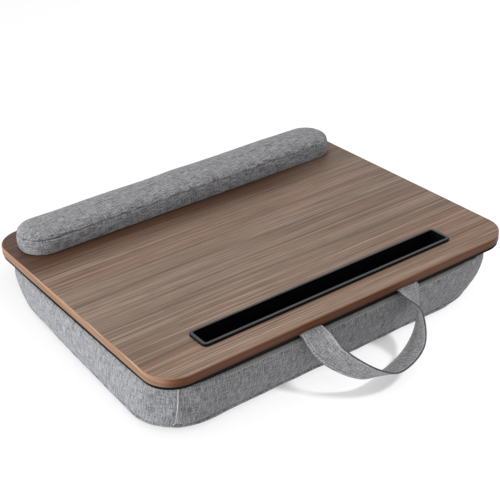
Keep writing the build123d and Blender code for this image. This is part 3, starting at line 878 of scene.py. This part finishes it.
def strapLine():
    # middle line of the whole strap in tray coordinates: a straight end under the board, the loop,
    # and the other end; the joins are softened by averaging over 3 mm
    place = np.linspace(0, 1, 241)
    spacing, reach, drop, turn, lean = (
        eased(strap[name], place) for name in ("spacing", "reaches", "drops", "turns", "leans"))
    loop = np.stack([strap["shift"] + strap["halfSpacing"] * spacing, strap["hingeY"] - strap["reach"] * reach,
                     strap["middleZ"] - strap["drop"] * drop], -1)
    turn, lean = np.radians(turn), np.radians(lean)
    across = np.stack([np.cos(turn) * np.cos(lean), -np.sin(turn) * np.cos(lean), np.sin(lean)], -1)
    run = np.linspace(strap["endLength"], 0, 28, endpoint=False)[:, None] * [[0, 1, 0]]
    line = np.concatenate([loop[:1] + run, loop, loop[-1:] + run[::-1]])
    across = np.concatenate([np.repeat(across[:1], len(run), 0), across, np.repeat(across[-1:], len(run), 0)])
    steps = runLength(line)
    at = np.linspace(0, steps[-1], 331)
    line, across = atRuns(at, steps, line), atRuns(at, steps, across)
    kernel = np.array([1, 4, 7, 4, 1]) / 17
    for _ in range(2):
        for a in (line, across):
            padded = np.concatenate([np.repeat(a[:1], 2, 0), a, np.repeat(a[-1:], 2, 0)])
            smooth = sum(kernel[k] * padded[k:k + len(a)] for k in range(5))
            a[3:-3] = smooth[3:-3]
    along = unit(np.gradient(line, axis=0))
    across = unit(across - along * (across * along).sum(1, keepdims=True))
    return line, across, np.cross(across, along), at


def makeStrap():
    # a flat tube: the section is a rounded bar, a little thinner along its two stitch lines
    line, across, face, at = strapLine()
    half, thick, r = strap["width"] / 2, strap["thickness"] / 2, strap["edgeRound"]
    seam = half - strap["stitchInset"]
    v = np.array([-1.0, -0.985, -0.95, -0.9, -(seam + 0.0006) / half, -seam / half, -(seam - 0.0008) / half,
                  -0.7, -0.45, -0.15])
    v = np.concatenate([v, -v[::-1]]) * half
    edge = np.sqrt(np.clip(1 - (np.clip(np.abs(v) - (half - r), 0, None) / r) ** 2, 0, 1))
    press = 1 - strap["press"] * np.exp(-((np.abs(v) - seam) / strap["pressWidth"]) ** 2)
    h = thick * edge * press
    ringV = np.concatenate([v, v[::-1][1:-1]])
    ringH = np.concatenate([h, -h[::-1][1:-1]])
    points = line[:, None] + across[:, None] * ringV[None, :, None] + face[:, None] * ringH[None, :, None]
    uv = np.stack(np.meshgrid(np.append(ringV, ringV[0]), at), -1)
    poles = [(onTray(line[i]), uv[i, 0]) for i in (0, -1)]
    piece = gridPiece("handle_cover", onTray(points), uv, body=None, poles=poles)
    rows = []
    for sign in (-1, 1):
        for up in (-1, 1):
            outer = line + across * sign * seam + face * up * thick * strap["stitchLift"]
            rows.append(spaced(outer, strap["stitchPitch"], face * up))
            # a second row a little further in, near the board only
            inner = line + across * sign * (seam - strap["secondInset"]) + face * up * thick
            second = spaced(inner, strap["stitchPitch"], face * up)
            rows.append([a[second[0][:, 1] > strap["secondFrom"]] for a in second])
    middles, direction, normals = (np.concatenate(a) for a in zip(*rows))
    keep = middles[:, 1] < strap["stitchFrom"]
    turned = [onTray(a[keep]) - onTray(np.zeros(3)) for a in (direction, normals)]
    stitches = stitchPiece("handle_stitches", onTray(middles[keep]), *turned, strap["stitch"], body=None)
    return piece, stitches


print("stage: handle")
# the cushion's cloth with paler yarns: painted light on the strap, which looks lighter than the cushion's front
heatherStrap = clothMaterial("heatherStrap", edge=strap["width"] / 2,
                             Dark=srgb(94, 94, 96), Light=srgb(186, 186, 189), Yarn=0.0008, Slub=0.6, Cross=0.5)
strapCover, strapStitches = makeStrap()
dress(strapCover, heatherStrap)
dress(strapStitches, threadPale)
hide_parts("handle_strap", "strap_end_left", "strap_end_right")
for piece in (strapCover, strapStitches):
    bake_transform(piece)

# seams

seams = {"radius": 0.0006, "plump": 0.00012, "pitch": 0.0036, "lift": 0.0004}


def cornerThread(name, line, beside):
    # the thread of a corner seam: a thin tube down the wall, fatter in the middle of every stitch
    steps = runLength(line)
    run = np.arange(0, steps[-1], 0.0006)
    line, beside = atRuns(run, steps, line), atRuns(run, steps, beside)
    along = unit(np.gradient(line, axis=0))
    outward = np.cross(along, beside)
    outward *= np.sign(outward[40] @ line[40]) / np.linalg.norm(outward, axis=1, keepdims=True)
    side = np.cross(outward, along)
    line = line + outward * seams["lift"]
    radius = seams["radius"] + seams["plump"] * np.abs(np.sin(np.pi * run / seams["pitch"]))
    lap = np.radians(np.arange(0, 360, 45))
    spokes = outward[:, None] * np.cos(lap)[None, :, None] + side[:, None] * np.sin(lap)[None, :, None]
    points = line[:, None] + radius[:, None, None] * spokes
    uv = np.stack(np.meshgrid(np.arange(9) * 0.0005, run), -1)
    thread = gridPiece(name, points, uv, poles=[(line[i], uv[i, 0]) for i in (0, -1)])
    dress(thread, threadPale)


print("stage: seams")
for name, (line, beside) in zip(("left_corner_thread", "right_corner_thread"), cornerSeams):
    cornerThread(name, line, beside)

# floor, lights and camera

print("stage: light and camera")
studio = {"floorColor": (0.7, 0.7, 0.7, 1), "floorGlow": 0.33, "world": 0.72, "floorHalf": 6}
photoCamera = {"place": (-0.7396, -1.0250, 0.8747), "aim": (0.4909, 0.6777, -0.5475), "lens": 81.4, "sensor": 36}


def seenRays(tree):
    # 1 for what the camera sees directly, in gloss or through glass
    rays = addNode(tree, "LightPath")
    direct = calc(tree, "MAXIMUM", rays["Is Camera Ray"], rays["Is Glossy Ray"])
    return calc(tree, "MAXIMUM", direct, rays["Is Transmission Ray"])


floorHalf = studio["floorHalf"]
floorCorners = [(x * floorHalf, y * floorHalf, 0) for x, y in ((-1, -1), (1, -1), (1, 1), (-1, 1))]
floor = addObject("floor", newMesh("floor", floorCorners, [(0, 1, 2, 3)]))
floorMaterial, floorTree, floorShader = newMaterial("floorPaper", 1.0, 0.0)
floorShader.inputs["Base Color"].default_value = studio["floorColor"]
floorShader.inputs["Emission Color"].default_value = (1, 1, 1, 1)
glow = calc(floorTree, "MULTIPLY", seenRays(floorTree), studio["floorGlow"])
floorTree.links.new(glow, floorShader.inputs["Emission Strength"])
dress(floor, floorMaterial)

world = bpy.data.worlds.new("studioWorld")
scene.world = world
world.use_nodes = True
worldTree = world.node_tree
background = worldTree.nodes["Background"]
background.inputs["Color"].default_value = (1, 1, 1, 1)
brightness = calc(worldTree, "MULTIPLY_ADD", seenRays(worldTree), 1 - studio["world"], studio["world"])
worldTree.links.new(brightness, background.inputs["Strength"])


def addAimed(name, data, place, aim):
    thing = addObject(name, data)
    thing.location = place
    thing.rotation_euler = Vector(aim).to_track_quat("-Z", "Y").to_euler()
    return thing


def areaLight(name, place, target, size, watts, color=(1, 1, 1)):
    data = bpy.data.lights.new(name, "AREA")
    data.shape = "RECTANGLE"
    data.size, data.size_y = size
    data.energy = watts
    data.color = color
    return addAimed(name, data, place, Vector(target) - Vector(place))


leftWindow = areaLight("leftWindow", (-1.75, 0.3, 0.42), (0, 0, 0.04), (1.5, 0.6), 29.5, (0.96, 0.98, 1.0))
topSoft = areaLight("topSoft", (-0.35, 0.55, 1.95), (0, 0, 0), (1.3, 1.0), 12)

# a small lamp that only gives the handle its shadow on the floor
handleShade = areaLight("handleShade", (1.04, -1.32, 2.24), (0, -0.2, 0), (0.36, 0.36), 41)
for label, member, role in (("shadeReceivers", floor, "receiver_collection"),
                            ("shadeCasters", strapCover, "blocker_collection")):
    group = bpy.data.collections.new(label)
    group.objects.link(member)
    setattr(handleShade.light_linking, role, group)
# the big lamps leave the floor to the even world light
offFloor = bpy.data.collections.new("offFloor")
offFloor.objects.link(floor)
offFloor.collection_objects[0].light_linking.link_state = "EXCLUDE"
for lamp in (leftWindow, topSoft):
    lamp.light_linking.receiver_collection = offFloor

cameraData = bpy.data.cameras.new("photoCamera")
cameraData.lens = photoCamera["lens"]
cameraData.sensor_width = photoCamera["sensor"]
scene.camera = addAimed("photoCamera", cameraData, photoCamera["place"], photoCamera["aim"])
scene.view_settings.view_transform = "Standard"
